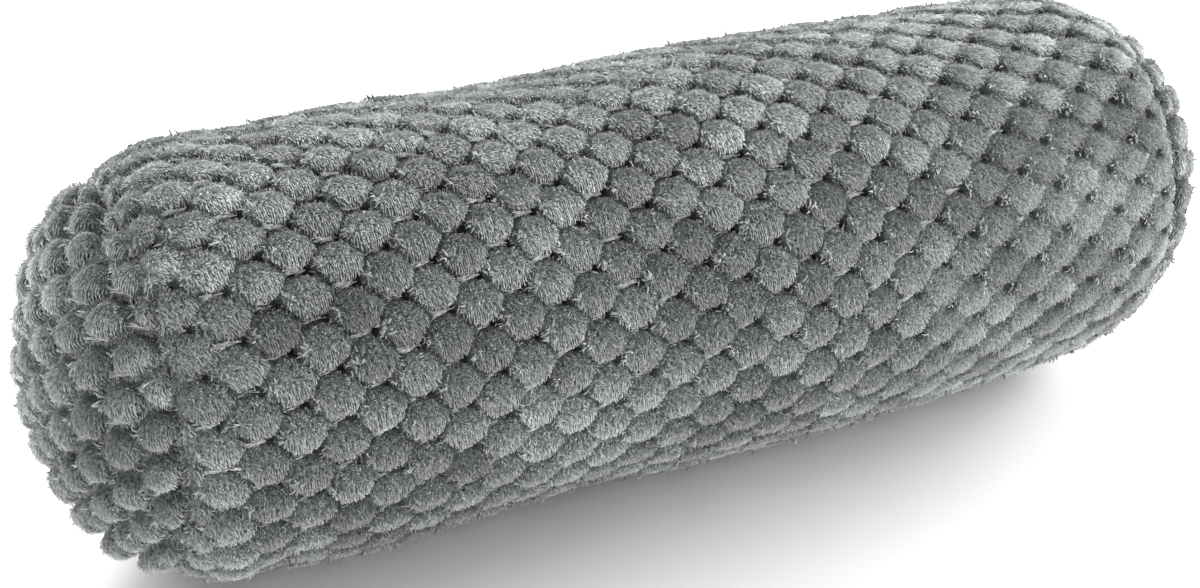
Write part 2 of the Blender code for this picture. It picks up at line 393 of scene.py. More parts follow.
class Side:
    """The side panel: spots are (x, distance round the roll from the top towards the front)."""

    way = np.array((1, 1))
    steep_way = np.array((-0.6, 0.7))  # towards the steep side of pads that are apart
    steep_side_shade = 0.22  # how dark painted shade makes that side
    top = CLOTH_TOP
    side_groove = CLOTH_SIDE_GROOVE
    shallower = 0.50  # the grooves between pads that are apart
    bridged = 0.5  # and how much more so towards one diagonal
    left_deeper = 0.35  # the grooves towards the left end
    unruly = 1.0  # how much the bundles of the standing pile differ
    brush_tone = 1.0

    def __init__(self, give):
        self.give = give

    def pads(self, spots):
        return to_pad(spots - FIRST_PAD)

    def apart(self, step):
        """How far single pads are drawn apart: most towards the right, and by the seams."""
        middle = FIRST_PAD + step @ DIAGONALS
        turn = middle[:, 1] / RADIUS
        opposite = 0.5 - 0.5 * np.cos(turn - LEAST_STRETCHED_TURN)
        right = eased(*STRETCHED, middle[:, 0]) * between(LEAST_STRETCHED, 1, opposite)
        by_seam = eased(SEAM_X - SEAM_STRETCH_REACH, SEAM_X, np.abs(middle[:, 0]))
        own = APART_VARIES * (1 + hashed(step, 19)) - APART_LESS
        return np.clip(np.maximum(right, SEAM_STRETCH * by_seam) + own, 0, 1)

    def turned(self, place):
        return place

    def pad_middles(self):
        """The middles of all pads, once round the roll."""
        most = round(SEAM_X / PAD_PITCH) + sum(ROUND_STEPS)
        middles = FIRST_PAD + all_middles(most)
        once = (middles[:, 1] >= 0) & (middles[:, 1] < 2 * math.pi * RADIUS - 1e-6)
        return middles[once & (np.abs(middles[:, 0]) < SEAM_X + PAD_PITCH)]

    def combed(self, spots):
        """How much the pile is combed down: on top of the roll, and in places elsewhere."""
        turn = np.abs((spots[:, 1] / RADIUS + math.pi) % (2 * math.pi) - math.pi)
        patches = 0.5 + 0.5 * noise(self.place(spots, 0), COMBED_PLACES, 25)
        on_top = 1 - eased(*COMBED_TO, turn)
        return np.maximum(on_top, 0.1 + 0.6 * patches) * (0.7 + 0.3 * patches)

    def pressed(self, spots):
        turn = np.degrees(spots[:, 1] / RADIUS)
        from_bottom = np.abs(180 - np.mod(turn, 360))
        return 1 - eased(PRESS_FROM, PRESS_TO, from_bottom)

    def seam_distance(self, spots):
        return SEAM_X - np.abs(spots[:, 0])

    def to_seam(self, spots):
        return np.stack([np.sign(spots[:, 0]), np.zeros(len(spots))], 1)

    def place(self, spots, height):
        angle = spots[:, 1] / RADIUS
        radius = roll_radius(spots[:, 0]) + height
        radius += sampled(self.give, spots[:, 0] / (2 * SEAM_X) + 0.5, angle)
        return round_axis(spots[:, 0], radius, angle)


class End:
    """An end panel: spots are on flat cloth, towards the front and up from its middle."""

    way = np.array((1, -1))  # up is positive here, and the pile leads down as on the side
    steep_way = np.array((-0.9, -0.4))
    # how dark painted shade makes the steep side on the ends
    steep_side_shade = 0.30
    side_groove = CLOTH_GROOVE
    bridged = 0.0
    left_deeper = 0.0
    unruly = 0.5
    brush_tone = 0.45

    def __init__(self, side, give):
        self.side = side
        self.give = give
        self.top = CLOTH_TOP + END_PAD_LIFT[side]
        self.shallower = END_SHALLOWER[side]
        self.arc, self.x, self.radius = end_outline()
        self.rim = self.arc[-1]
        slope_x = np.gradient(self.x, self.arc)
        slope_radius = np.gradient(self.radius, self.arc)
        self.out_x = slope_radius
        self.out_radius = -slope_x

    def pads(self, spots):
        return to_pad((spots - END_PAD) @ END_TURNED)

    def apart(self, step):
        return np.clip(END_APART + END_APART_VARIES * hashed(step, 19), 0, 1)

    def turned(self, place):
        return place @ END_TURNED.T

    def pad_middles(self):
        """The middles of all pads on the panel."""
        most = round(2 * self.rim / PAD_PITCH) + 2
        middles = END_PAD + self.turned(all_middles(2 * most))
        return middles[np.hypot(middles[:, 0], middles[:, 1]) < self.rim + PAD_PITCH]

    def combed(self, spots):
        return 0.6 + 0.4 * noise(self.place(spots, 0), COMBED_PLACES, 25)

    def pressed(self, spots):
        return np.zeros(len(spots))

    def seam_distance(self, spots):
        return self.rim - np.hypot(spots[:, 0], spots[:, 1])

    def to_seam(self, spots):
        return unit(spots)

    def place(self, spots, height):
        arc = np.hypot(spots[:, 0], spots[:, 1])
        turn = np.arctan2(spots[:, 1], spots[:, 0])
        height = height + sampled(self.give, arc / self.rim, turn)
        x = np.interp(arc, self.arc, self.x) + height * np.interp(arc, self.arc, self.out_x)
        radius = np.interp(arc, self.arc, self.radius)
        radius += height * np.interp(arc, self.arc, self.out_radius)
        x = np.maximum(x, SEAM_X + SEAM_CLEAR)
        return np.stack([self.side * x, -radius * np.cos(turn), radius * np.sin(turn)], 1)


# The filled roll, blown up as cloth
def sampled(give, share, angle):
    """Reads a grid of heights: share runs from 0 to 1 along it, and angle goes round it."""
    if give is None:
        return 0
    rows, columns = give.shape
    along = np.clip(share, 0, 1) * (rows - 1)
    row = np.minimum(along.astype(int), rows - 2)
    along = along - row
    round_it = np.mod(angle / (2 * math.pi), 1) * columns
    column = round_it.astype(int)
    round_it = round_it - column
    column, after = column % columns, (column + 1) % columns
    low = give[row, column] * (1 - round_it) + give[row, after] * round_it
    high = give[row + 1, column] * (1 - round_it) + give[row + 1, after] * round_it
    return low * (1 - along) + high * along


def plain_shell():
    """The whole roll without pads, closed, a little lumpy."""
    _, end_x, end_radius = end_outline()
    end_x, end_radius = end_x[4::12], end_radius[4::12]
    side_x = np.linspace(-SEAM_X, SEAM_X, 80)
    x = np.concatenate([-end_x, side_x, end_x[::-1]])
    radius = np.concatenate([end_radius, roll_radius(side_x), end_radius[::-1]])
    angle = np.arange(SHELL_SEGMENTS) * (2 * math.pi / SHELL_SEGMENTS)
    rings = len(x)
    points = round_axis(
        np.repeat(x, SHELL_SEGMENTS), np.repeat(radius, SHELL_SEGMENTS), np.tile(angle, rings)
    )
    lump = 1 + SHELL_LUMPS / RADIUS * noise(points, SHELL_LUMP_SIZE, 21)
    points = points * lump[:, None]
    index = np.arange(rings * SHELL_SEGMENTS).reshape(rings, SHELL_SEGMENTS)
    after = np.roll(index, -1, axis=1)
    quads = np.stack([index[:-1], after[:-1], after[1:], index[1:]], -1).reshape(-1, 4)
    caps = np.stack([index[0], index[-1][::-1]])
    return new_mesh("shell", points, [quads, caps])


def replace_mesh(thing):
    """Applies a thing's modifiers as they stand at the current frame."""
    graph = bpy.context.evaluated_depsgraph_get()
    made = bpy.data.meshes.new_from_object(thing.evaluated_get(graph))
    thing.modifiers.clear()
    thing.data = made


def blown_up(shell):
    """Runs the cloth with pressure inside it and its seams held, and applies the result."""
    remesh = shell.modifiers.new("remesh", "REMESH")
    remesh.mode = "VOXEL"
    remesh.voxel_size = SHELL_VOXEL
    replace_mesh(shell)
    held = shell.vertex_groups.new(name="seams")
    points = np.array([vert.co for vert in shell.data.vertices])
    from_seam = np.abs(np.abs(points[:, 0]) - SEAM_X)
    held.add([int(k) for k in np.flatnonzero(from_seam < SHELL_VOXEL * 0.6)], 1.0, "REPLACE")
    cloth = shell.modifiers.new("cloth", "CLOTH")
    settings = cloth.settings
    settings.quality = 5
    settings.mass = 0.3
    settings.tension_stiffness = 15
    settings.compression_stiffness = 15
    settings.bending_stiffness = 0.5
    settings.use_pressure = True
    settings.uniform_pressure_force = PRESSURE
    settings.vertex_group_mass = "seams"
    settings.shrink_min = -0.02
    settings.effector_weights.gravity = 0
    cloth.collision_settings.use_collision = False
    cloth.point_cache.frame_start = 1
    cloth.point_cache.frame_end = CLOTH_FRAMES
    scene = bpy.context.scene
    for number in range(1, CLOTH_FRAMES + 1):
        scene.frame_set(number)
    replace_mesh(shell)
    scene.frame_set(1)


def uneven(distance, plain):
    """What is left of the swelling without its mean at each place along the roll."""
    give = distance - plain
    give -= give.mean(axis=1, keepdims=True)
    for _ in range(2):
        give = (np.roll(give, 1, 1) + 2 * give + np.roll(give, -1, 1)) / 4
        padded = np.concatenate([give[:1], give, give[-1:]])
        give = (padded[:-2] + 2 * padded[1:-1] + padded[2:]) / 4
    return MOST_GIVE * np.tanh(give / MOST_GIVE)


def simulated_give():
    """How far the filled cloth stands from the plain roll: on the side and on both ends."""
    shell = plain_shell()
    blown_up(shell)
    tree = BVHTree.FromObject(shell, bpy.context.evaluated_depsgraph_get())
    bpy.data.objects.remove(shell)
    columns = round(2 * math.pi * RADIUS / GIVE_STEP)
    angle = np.arange(columns) * (2 * math.pi / columns)

    def read(origins, targets):
        """Distances from the origins to the cloth, towards the targets."""
        found = np.linalg.norm(targets - origins, axis=-1)
        for place in np.ndindex(found.shape):
            aim = Vector(targets[place] - origins[place]).normalized()
            hit = tree.ray_cast(Vector(origins[place]), aim)
            if hit[3] is not None:
                found[place] = hit[3]
        return found

    x = np.linspace(-SEAM_X, SEAM_X, round(2 * SEAM_X / GIVE_STEP))[:, None] + 0 * angle
    turned = angle + 0 * x
    targets = round_axis(x, roll_radius(x), turned)
    origins = targets * (1, 0, 0)
    side = uneven(read(origins, targets), roll_radius(x))
    arc, end_x, end_radius = end_outline()
    reach = np.linspace(0, arc[-1], round(arc[-1] / GIVE_STEP))[:, None] + 0 * angle
    ends = []
    for sign in (-1, 1):
        radius = np.interp(reach, arc, end_radius)
        front, up = radius * np.cos(angle), radius * np.sin(angle)
        targets = np.stack([sign * np.interp(reach, arc, end_x), -front, up], -1)
        origins = np.zeros_like(targets) + (sign * (SEAM_X - RAYS_FROM), 0, 0)
        plain = np.linalg.norm(targets - origins, axis=-1)
        ends.append(END_GIVE * uneven(read(origins, targets), plain))
    return side, *ends


# The padded cloth
def parted(place):
    """1 where the pile parts, at the left tips of pads."""
    nearest = np.full(len(place), np.inf)
    for tip in (LEFT_TIP, LEFT_TIP + DIAGONAL_A, LEFT_TIP - DIAGONAL_B):
        nearest = np.minimum(nearest, np.linalg.norm(place - tip, axis=1))
    return 1 - eased(*CAVITY, nearest)


def pad_shape(panel, spots):
    """Each spot's pad, the place on it, how far pads are apart, the gauge, and the plain roll."""
    step, place = panel.pads(spots)
    apart = panel.apart(step)
    here = panel.place(spots, 0)
    gauge = pad_gauge(place, apart) * (1 + WOBBLE * noise(here, WOBBLE_SIZE, 23))
    return step, place * panel.way, apart, gauge, here


def groove_height(panel, place, apart, here):
    """The cloth's height in the grooves near each spot."""
    flat_place = place * panel.way
    straight = eased(*SLANTING_TO, np.abs(flat_place @ unit(ACROSS)))
    groove = between(panel.side_groove, CLOTH_GROOVE, straight)
    groove *= 1 - panel.shallower * apart
    away = np.maximum(np.linalg.norm(place, axis=1), 1e-6)
    facing = np.abs(flat_place @ unit(DIAGONAL_A)) / away
    groove *= 1 - panel.bridged * apart * eased(*BRIDGED_SIDES, facing)
    groove *= 1 + panel.left_deeper * (1 - eased(*DEEPER_TO, here[:, 0]))
    return groove * (1 - GROOVE_VARIES * eased(-0.2, 0.8, noise(here, GROOVE_PLACES, 24)))


def cloth_height(panel, spots):
    """The bare cloth's height over the CAD pads' level at each spot."""
    step, place, apart, gauge, here = pad_shape(panel, spots)
    pressed = panel.pressed(spots)
    steep = steep_share(place, apart, panel.steep_way)
    rise = np.maximum(pad_rise(gauge, steep), pressed)
    height = between(groove_height(panel, place, apart, here), panel.top, rise)
    height += PAD_UNEVEN * hashed(step, 10) * rise * (1 - pressed)
    height -= CAVITY_DEPTH * parted(place) * (1 - CAVITY_LESS * apart) * (1 - pressed)
    seam = CLOTH_GROOVE - SEAM_SINK
    return between(seam, height, turn_in(panel.seam_distance(spots)))


def cloth_points(panel, spots):
    return panel.place(spots, cloth_height(panel, spots))


# Meshes
def placed(name, data):
    """A new thing in the scene."""
    thing = bpy.data.objects.new(name, data)
    bpy.context.scene.collection.objects.link(thing)
    return thing


def new_mesh(name, points, faces, uv=None, smooth=True):
    data = bpy.data.meshes.new(name)
    data.vertices.add(len(points))
    data.vertices.foreach_set("co", points.astype(np.float32).ravel())
    sizes = [len(block.ravel()) for block in faces]
    data.loops.add(sum(sizes))
    data.loops.foreach_set(
        "vertex_index", np.concatenate([b.ravel() for b in faces]).astype(np.int32)
    )
    starts = []
    begun = 0
    for block in faces:
        starts.append(begun + np.arange(len(block)) * block.shape[1])
        begun += block.size
    starts = np.concatenate(starts).astype(np.int32)
    data.polygons.add(len(starts))
    data.polygons.foreach_set("loop_start", starts)
    data.polygons.foreach_set("use_smooth", np.full(len(starts), smooth))
    data.update(calc_edges=True)
    if uv is not None:
        layer = data.uv_layers.new(name="OFBake", do_init=False)
        layer.uv.foreach_set("vector", uv.astype(np.float32).ravel())
    return placed(name, data)


def add_colours(piece, colours):
    layer = piece.data.color_attributes.new("Plush", "FLOAT_COLOR", "POINT")
    layer.data.foreach_set("color", colours.astype(np.float32).ravel())


# The fibres
def blades(roots, directions, outward, lengths, widths, colours, lifted, rng):
    """One thin triangle for each root: corner points and their colours, lifted at the root."""
    count = len(roots)
    faced = outward + BLADE_TURN * rng.normal(size=(count, 3))
    flat_side = unit(np.cross(directions, faced))
    half = flat_side * (widths[:, None] / 2 * rng.uniform(*BLADE_WIDTHS, (count, 1)))
    ends = roots + directions * lengths[:, None]
    pointed = rng.uniform(size=(count, 1)) < POINTED_SHARE
    wide, tip = np.where(pointed, roots, ends), np.where(pointed, ends, roots)
    shown = np.repeat(colours[:, None], 3, 1)
    shown[:, :2, 0] = 1 - pointed
    shown[:, 2, 0] = pointed[:, 0]
    shown[:, :, 0] += (1 - shown[:, :, 0]) * np.broadcast_to(lifted, count)[:, None]
    return np.stack([wide - half, wide + half, tip], 1), shown


def curls(roots, outward, sideways, lengths, colours, rng):
    """Bent tapering locks that stand up and turn over sideways."""
    count = len(roots)
    across = unit(np.cross(outward, sideways))
    first = rng.uniform(*CURL_START, count)
    bend = rng.uniform(*CURL_BEND, count)
    points = []
    centre = roots
    for number in range(CURL_SEGMENTS + 1):
        share = number / CURL_SEGMENTS
        wide = CURL_WIDTH / 2 * (1 - share**2) * across * rng.uniform(0.7, 1.2, (count, 1))
        points.append(np.stack([centre - wide, centre + wide], 1))
        angle = first + bend * share
        step = np.cos(angle)[:, None] * outward + np.sin(angle)[:, None] * sideways
        centre = centre + step * (lengths / CURL_SEGMENTS)[:, None]
    triangles, shown = [], []
    for number in range(CURL_SEGMENTS):
        low, high = points[number], points[number + 1]
        triangles.append(np.stack([low[:, 0], low[:, 1], high[:, 1]], 1))
        triangles.append(np.stack([low[:, 0], high[:, 1], high[:, 0]], 1))
        tone = np.repeat(colours[:, None], 3, 1)
        tone[:, :, 0] = 0.1 + 0.6 * number / (CURL_SEGMENTS - 1)
        shown += [tone, tone]
    del triangles[-1], shown[-1]
    return np.concatenate(triangles), np.concatenate(shown)


def pile_piece(name, triangles, colours):
    """One mesh of loose triangles, each with its own cell of the texture map."""
    count = len(triangles)
    points = settle(triangles.reshape(-1, 3))
    points[:, 2] = np.maximum(points[:, 2], PILE_FLOOR_GAP)
    across = math.ceil(math.sqrt(count))
    cell = np.stack([np.arange(count) % across, np.arange(count) // across], 1)
    corner = np.array(((0.12, 0.12), (0.88, 0.12), (0.5, 0.88)))
    uv = (cell[:, None] + corner[None]) / across
    piece = new_mesh(name, points, [np.arange(count * 3).reshape(-1, 3)], uv, smooth=False)
    add_colours(piece, colours.reshape(-1, 4))
    return piece


def tangents(panel, spots):
    """The plain roll's outward direction and the ways along and round it."""
    small = 0.0004
    here = panel.place(spots, 0)
    run = unit(panel.place(spots + (small, 0), 0) - here)
    rise = unit(panel.place(spots + (0, small), 0) - here)
    return unit(panel.place(spots, 0.001) - here), run, rise


def lying_share(place, apart, combed):
    """0 where a pad's pile stands to 1 where it lies down: below, or right where pads are apart."""
    u, v = place[:, 0] / PAD_HALF[0], place[:, 1] / PAD_HALF[1]
    below = eased(-0.25, 0.45, v + 0.35 * combed)
    right = eased(-0.45, 0.35, 0.5 * u + 0.75 * v)
    return between(below, right, apart)


def pile_facts(panel, spots):
    """What the pile depends on at each spot."""
    step, place, apart, gauge, _ = pad_shape(panel, spots)
    at = SimpleNamespace(step=step, place=place, apart=apart, gauge=gauge)
    at.pressed = panel.pressed(spots)
    at.combed = panel.combed(spots)
    at.here = cloth_points(panel, spots)
    at.lying = lying_share(place, apart, at.combed)
    from_tuft = np.linalg.norm(place - TUFT, axis=1)
    at.tuft = 1 - eased(0.4 * TUFT_SIZE, TUFT_SIZE, from_tuft)
    at.fluff = 1 - eased(0, SEAM_FLUFF, panel.seam_distance(spots))
    at.fringe = eased(0.80, 1.0, gauge) * eased(0.3, 0.9, place[:, 0] / PAD_HALF[0])
    at.fringe *= eased(0.0, 0.6, hashed(step, 13))
    wander = np.stack([noise(at.here, BUNDLE_BEND_SIZE, seed) for seed in (15, 16)], 1)
    bundle = (spots + BUNDLE_BENDS * wander) / (BUNDLE * BUNDLE_SHAPE)
    at.bundle = np.floor(bundle).astype(np.int64)
    at.wale = np.concatenate([np.floor(spots[:, :1] / WALE).astype(np.int64), step], 1)
    at.chaos = np.maximum(1 - TIDY_LYING * at.lying, at.tuft)
    return at


def pile_direction(panel, spots, at, rng):
    """Which way the fibres point, and which way their flat sides face."""
    bearing = between(*LIE_BEARING, at.apart) + BEARING_VARIES * hashed(at.step, 12)
    bearing += DRIFT * noise(at.here, DRIFT_SIZE, 3)
    bearing += RUFFLE[0] * at.chaos * noise(at.here, RUFFLE_SIZE, 5)
    bearing += BUNDLE_TURN[0] * panel.unruly * at.chaos * hashed(at.bundle, 7)
    lean = between(LEAN_STANDING, LEAN_LYING, np.maximum(at.lying, at.pressed))
    lean += DRIFT * noise(at.here, DRIFT_SIZE, 4)
    lean += RUFFLE[1] * at.chaos * noise(at.here, RUFFLE_SIZE, 6)
    lean += BUNDLE_TURN[1] * panel.unruly * at.chaos * hashed(at.bundle, 8)
    lean += rng.normal(0, FIBRE_LEAN_VARIES, len(spots))
    lean = np.maximum(lean, FLUFF_LEAN * at.fluff)
    way = panel.turned(panel.way * np.stack([np.cos(bearing), np.sin(bearing)], 1))
    way = unit(way + (FLUFF_PULL * at.fluff)[:, None] * panel.to_seam(spots))
    reach = 0.0005 * way
    ahead = unit(cloth_points(panel, spots + reach) - cloth_points(panel, spots - reach))
    normal = tangents(panel, spots)[0]
    outward = unit(normal - (normal * ahead).sum(1, keepdims=True) * ahead)
    upright = unit(normal + 0.5 * outward)
    base = unit(between(upright, outward, eased(0.2, 0.8, at.lying)[:, None]))
    return unit(np.cos(lean)[:, None] * base + np.sin(lean)[:, None] * ahead), outward


def pile_length(at, rng):
    inside = 1 - eased(0.90, 1.02, at.gauge) * (1 - 0.6 * at.apart)
    length = between(PILE_LENGTH, PILE_LYING, at.lying)
    length = between(PILE_SHORT, length, np.maximum(inside, at.fluff))
    length += FRINGE * at.fringe + TUFT_LENGTH * at.tuft + FLUFF_LENGTH * at.fluff
    length *= rng.uniform(*PILE_LENGTHS, len(length))
    return length * (1 - PARTED_SHORTER * parted(at.place))


def painted_rim_shade(panel, place, apart, gauge):
    """Painted shade: 1 at the steep side of a pad that is drawn apart, where it is darkened."""
    return eased(*SHADED_RIM, gauge) * steep_share(place, apart, panel.steep_way) * apart


def pile_colours(panel, at, rng):
    """In green each fibre's own tone with painted shade in grooves and on steep sides, in blue its
    pad's, and in alpha how pale it is, with painted sheen at fringes and on the lying pile.
    """
    varied = 0.4 * rng.uniform(-1, 1, len(at.lying)) + 0.6 * hashed(at.bundle, 9)
    varied = between(varied, WALE_TONE * hashed(at.wale, 26), at.lying * at.combed)
    varied *= (1 - 0.4 * at.lying) * (1 - 0.4 * at.apart) * (0.5 + 0.5 * panel.unruly)
    # painted shade in the grooves, less where pads are apart or the pile is pressed
    groove_shade = eased(0.84, 1.0, at.gauge) * (1 - 0.8 * at.apart) * (1 - at.pressed)
    shade = painted_rim_shade(panel, at.place, at.apart, at.gauge)
    # pale tufts and fluff, and painted sheen of the fringe and of the lying pile
    pale_and_sheen = [
        FRINGE_SHEEN * at.fringe,
        PALE_TUFT * at.tuft,
        PALE_FLUFF * at.fluff,
        LYING_SHEEN * at.lying * at.combed**2,
    ]
    colours = np.empty((len(varied), 4))
    # painted shade: darker in the grooves and on the steep side of pads that are apart
    colours[:, 1] = 0.5 + TONE_VARIES * varied - GROOVE_PAINTED_SHADE * groove_shade - panel.steep_side_shade * shade
    colours[:, 2] = hashed(at.step, 11) / 2 + 0.5
    colours[:, 3] = np.max(pale_and_sheen, axis=0)
    return colours


def pile(panel, spots, seed):
    """The short pile all over a panel: upright on one side of a pad, lying down on the other."""
    rng = np.random.default_rng(seed)
    at = pile_facts(panel, spots)
    direction, outward = pile_direction(panel, spots, at, rng)
    length = pile_length(at, rng)
    colours = pile_colours(panel, at, rng)
    # painted sheen: the roots are lighter where the pile lies combed
    lifted = ROOT_LIFTED[0] + ROOT_LIFTED[1] * at.lying * at.combed**2
    widths = np.full(len(spots), BLADE_WIDTH)
    return blades(at.here, direction, outward, length, widths, colours, lifted, rng)


def tufts(panel, seed):
    """Curly locks at each pad's left tip."""
    rng = np.random.default_rng(seed)
    middles = panel.pad_middles()
    strong = np.repeat(hashed(np.round(middles * 1e5).astype(np.int64), 14), CURLS)
    place = TUFT + rng.normal(0, CURL_SPREAD, (len(strong), 2))
    spots = np.repeat(middles, CURLS, 0) + panel.turned(panel.way * place)
    kept = panel.seam_distance(spots) > TUFT_FROM_SEAM
    kept &= panel.pressed(spots) < MOST_PRESSED
    kept &= rng.uniform(-1, 1, len(spots)) < strong + CURL_SHARE
    kept &= rng.uniform(0, 1, len(spots)) > COMBED_CURLS_LOST * panel.combed(spots) ** 2
    spots = spots[kept]
    normal, run, rise = tangents(panel, spots)
    turn = rng.normal(math.pi, CURL_TURN, len(spots))
    way = panel.turned(panel.way * np.stack([np.cos(turn), np.sin(turn)], 1))
    sideways = unit(way[:, :1] * run + way[:, 1:] * rise)
    colours = np.empty((len(spots), 4))
    colours[:, 1] = rng.uniform(*CURL_TONES, len(spots))
    colours[:, 2] = 0.5
    colours[:, 3] = rng.uniform(0, CURL_PALE, len(spots))
    lengths = CURL_LENGTH * rng.uniform(*CURL_LENGTHS, len(spots))
    roots = cloth_points(panel, spots) + CURL_LIFT * normal
    return curls(roots, normal, sideways, lengths, colours, rng)


def brushes(panel, seed):
    """Long pale fibres from each pad's right tip, lying in the groove to the next left tip."""
    rng = np.random.default_rng(seed)
    middles = panel.pad_middles()
    strong = np.repeat(hashed(np.round(middles * 1e5).astype(np.int64), 17), BRUSH_FIBRES)
    strong = eased(-0.3, 0.8, strong)
    first = -LEFT_TIP - BRUSH_START
    last = LEFT_TIP + ALONG
    along = unit(last - first)
    beside = np.array((-along[1], along[0]))
    share = rng.uniform(0, 1, len(strong)) ** 1.4
    off = rng.normal(0, 1, len(strong)) * between(*BRUSH_SPREAD, share)
    place = first + (share * BRUSH_REACH)[:, None] * (last - first) + off[:, None] * beside
    spots = np.repeat(middles, BRUSH_FIBRES, 0) + panel.turned(panel.way * place)
    kept = panel.seam_distance(spots) > BRUSH_FROM_SEAM
    kept &= panel.pressed(spots) < MOST_PRESSED
    kept &= rng.uniform(0, 1, len(spots)) < strong + BRUSH_SHARE
    spots, share, off, strong = spots[kept], share[kept], off[kept], strong[kept]
    normal, run, rise = tangents(panel, spots)
    height = between(*BRUSH_HEIGHT, share) + rng.normal(0, BRUSH_HEIGHT_VARIES, len(spots))
    inward = rng.normal(0, BRUSH_TURN, len(spots)) - off * BRUSH_GATHERS
    way = panel.turned(panel.way * (along + inward[:, None] * beside))
    down = rng.normal(BRUSH_DOWN, BRUSH_DOWN_VARIES, len(spots))
    direction = unit(way[:, :1] * run + way[:, 1:] * rise + down[:, None] * normal)
    lengths = rng.uniform(*BRUSH_LENGTH, len(spots))
    colours = np.empty((len(spots), 4))
    colours[:, 1] = rng.uniform(*BRUSH_TONES, len(spots))
    colours[:, 2] = 0.6
    colours[:, 3] = (BRUSH_PALE[0] + BRUSH_PALE[1] * strong) * panel.brush_tone
    widths = np.full(len(spots), BRUSH_WIDTH)
    roots = panel.place(spots, height)
    return blades(roots, direction, normal, lengths, widths, colours, BRUSH_LIFTED, rng)


def whole_pile(panel, spots, seed):
    """All the fibres of a panel as loose triangles, with their colours."""
    made = [pile(panel, spots, seed), tufts(panel, seed + 1), brushes(panel, seed + 2)]
    return [np.concatenate(part) for part in zip(*made)]


def scattered(width, height, count, rng):
    """Spots spread evenly over a rectangle: one at random in each cell of a fine grid."""
    cell = math.sqrt(width * height / count)
    columns, rows = round(width / cell), round(height / cell)
    corners = grid(np.arange(columns), np.arange(rows)).reshape(-1, 2)
    spots = corners + rng.uniform(0, 1, (columns * rows, 2))
    return spots * (width / columns, height / rows)


def in_wales(spots, rng):
    """Moves spots sideways into rows."""
    row = np.floor(spots[:, 0] / WALE)
    bent = WALE_BENDS * noise(spots, WALE_BEND_SIZE, 18)
    across = (row + 0.5 + bent + rng.normal(0, WALE_SPREAD, len(spots))) * WALE
    return np.stack([across, spots[:, 1]], 1)


def side_pile(panel):
    """The side's pile, as one piece for each quarter of the roll."""
    rng = np.random.default_rng(1)
    spots = scattered(2 * SEAM_X, 2 * math.pi * RADIUS, SIDE_BLADES, rng)
    spots[:, 0] -= SEAM_X
    spots = spots[np.abs(np.degrees(spots[:, 1] / RADIUS) - 180) > BARE_UNDER]
    spots = in_wales(spots, rng)
    spots = spots[panel.seam_distance(spots) > SEAM_CLEAR]
    triangles, colours = whole_pile(panel, spots, 2)
    middle = triangles.mean(1)
    turn = np.arctan2(-middle[:, 1], middle[:, 2])
    quarter = np.floor(turn / (math.pi / 2) + 0.5).astype(int) % 4
    made = []
    for number, where in enumerate(("top", "front", "under", "back")):
        own = quarter == number
        made.append(pile_piece(f"side_pile_{where}", triangles[own], colours[own]))
    return made


def end_pile(panel, name):
    rng = np.random.default_rng(20 + panel.side)
    square = 2 * panel.rim
    spots = scattered(square, square, int(END_BLADES * 4 / math.pi), rng) - panel.rim
    spots = panel.turned(in_wales(spots, rng))
    spots = spots[panel.seam_distance(spots) > SEAM_CLEAR]
    return pile_piece(name, *whole_pile(panel, spots, 30 + 3 * panel.side))


# The cloth's pieces
def side_cloth(panel):
    columns = round(2 * SEAM_X / CLOTH_STEP)
    rows = round(2 * math.pi * RADIUS / CLOTH_STEP)
    x = np.linspace(-SEAM_X, SEAM_X, columns + 1)
    round_it = np.arange(rows) * (2 * math.pi * RADIUS / rows)
    spots = grid(x, round_it).reshape(-1, 2)
    points = cloth_points(panel, spots)
    index = np.arange(len(spots)).reshape(columns + 1, rows)
    after = np.roll(index, -1, axis=1)
    quads = np.stack([index[:-1], index[1:], after[1:], after[:-1]], -1).reshape(-1, 4)
    middles = [[side * (SEAM_X - 0.001), 0, 0] for side in (-1, 1)]
    left = np.stack([index[0], after[0], np.full(rows, len(points))], 1)
    right = np.stack([after[-1], index[-1], np.full(rows, len(points) + 1)], 1)
    points = settle(np.concatenate([points, middles]))
    points[:, 2] = np.maximum(points[:, 2], FLOOR_GAP)
    corner = grid(np.arange(columns), np.arange(rows)).reshape(-1, 1, 2)
    corner = corner + np.array(((0, 0), (1, 0), (1, 1), (0, 1)))
    flat = corner / (columns, rows) * (1, 0.96)
    caps_uv = np.zeros((2 * rows * 3, 2)) + (0.5, 0.98)
    uv = np.concatenate([flat.reshape(-1, 2), caps_uv])
    piece = new_mesh("side_cloth", points, [quads, np.concatenate([left, right])], uv)
    shade_cloth(piece, panel, np.concatenate([spots, np.zeros((2, 2))]))
    return piece


def shade_cloth(piece, panel, spots):
    """Gives the cloth its tone in alpha: painted sheen makes it paler where pads are apart and
    under the lying pile, and painted shade darkens the steep sides of pads that are apart, the
    grooves and the parting at each left tip.
    """
    step, place, apart, gauge, _ = pad_shape(panel, spots)
    colours = np.zeros((len(spots), 4))
    colours[:, 1] = 0.5
    colours[:, 2] = hashed(step, 11) / 2 + 0.5
    # painted sheen: paler where pads are apart and more under the lying pile
    bare = 0.60 + 0.15 * apart * (1 + lying_share(place, apart, panel.combed(spots)))
    # painted shade on the steep side of pads that are apart
    bare *= 1 - 0.6 * painted_rim_shade(panel, place, apart, gauge)
    # painted shade in the grooves
    groove = eased(0.90, 1.0, gauge) * (1 - 0.9 * apart)
    # painted shade where the pile parts at each left tip
    colours[:, 3] = bare * (1 - 0.55 * groove) * (1 - parted(place) * (1 - 0.5 * apart))
    add_colours(piece, colours)


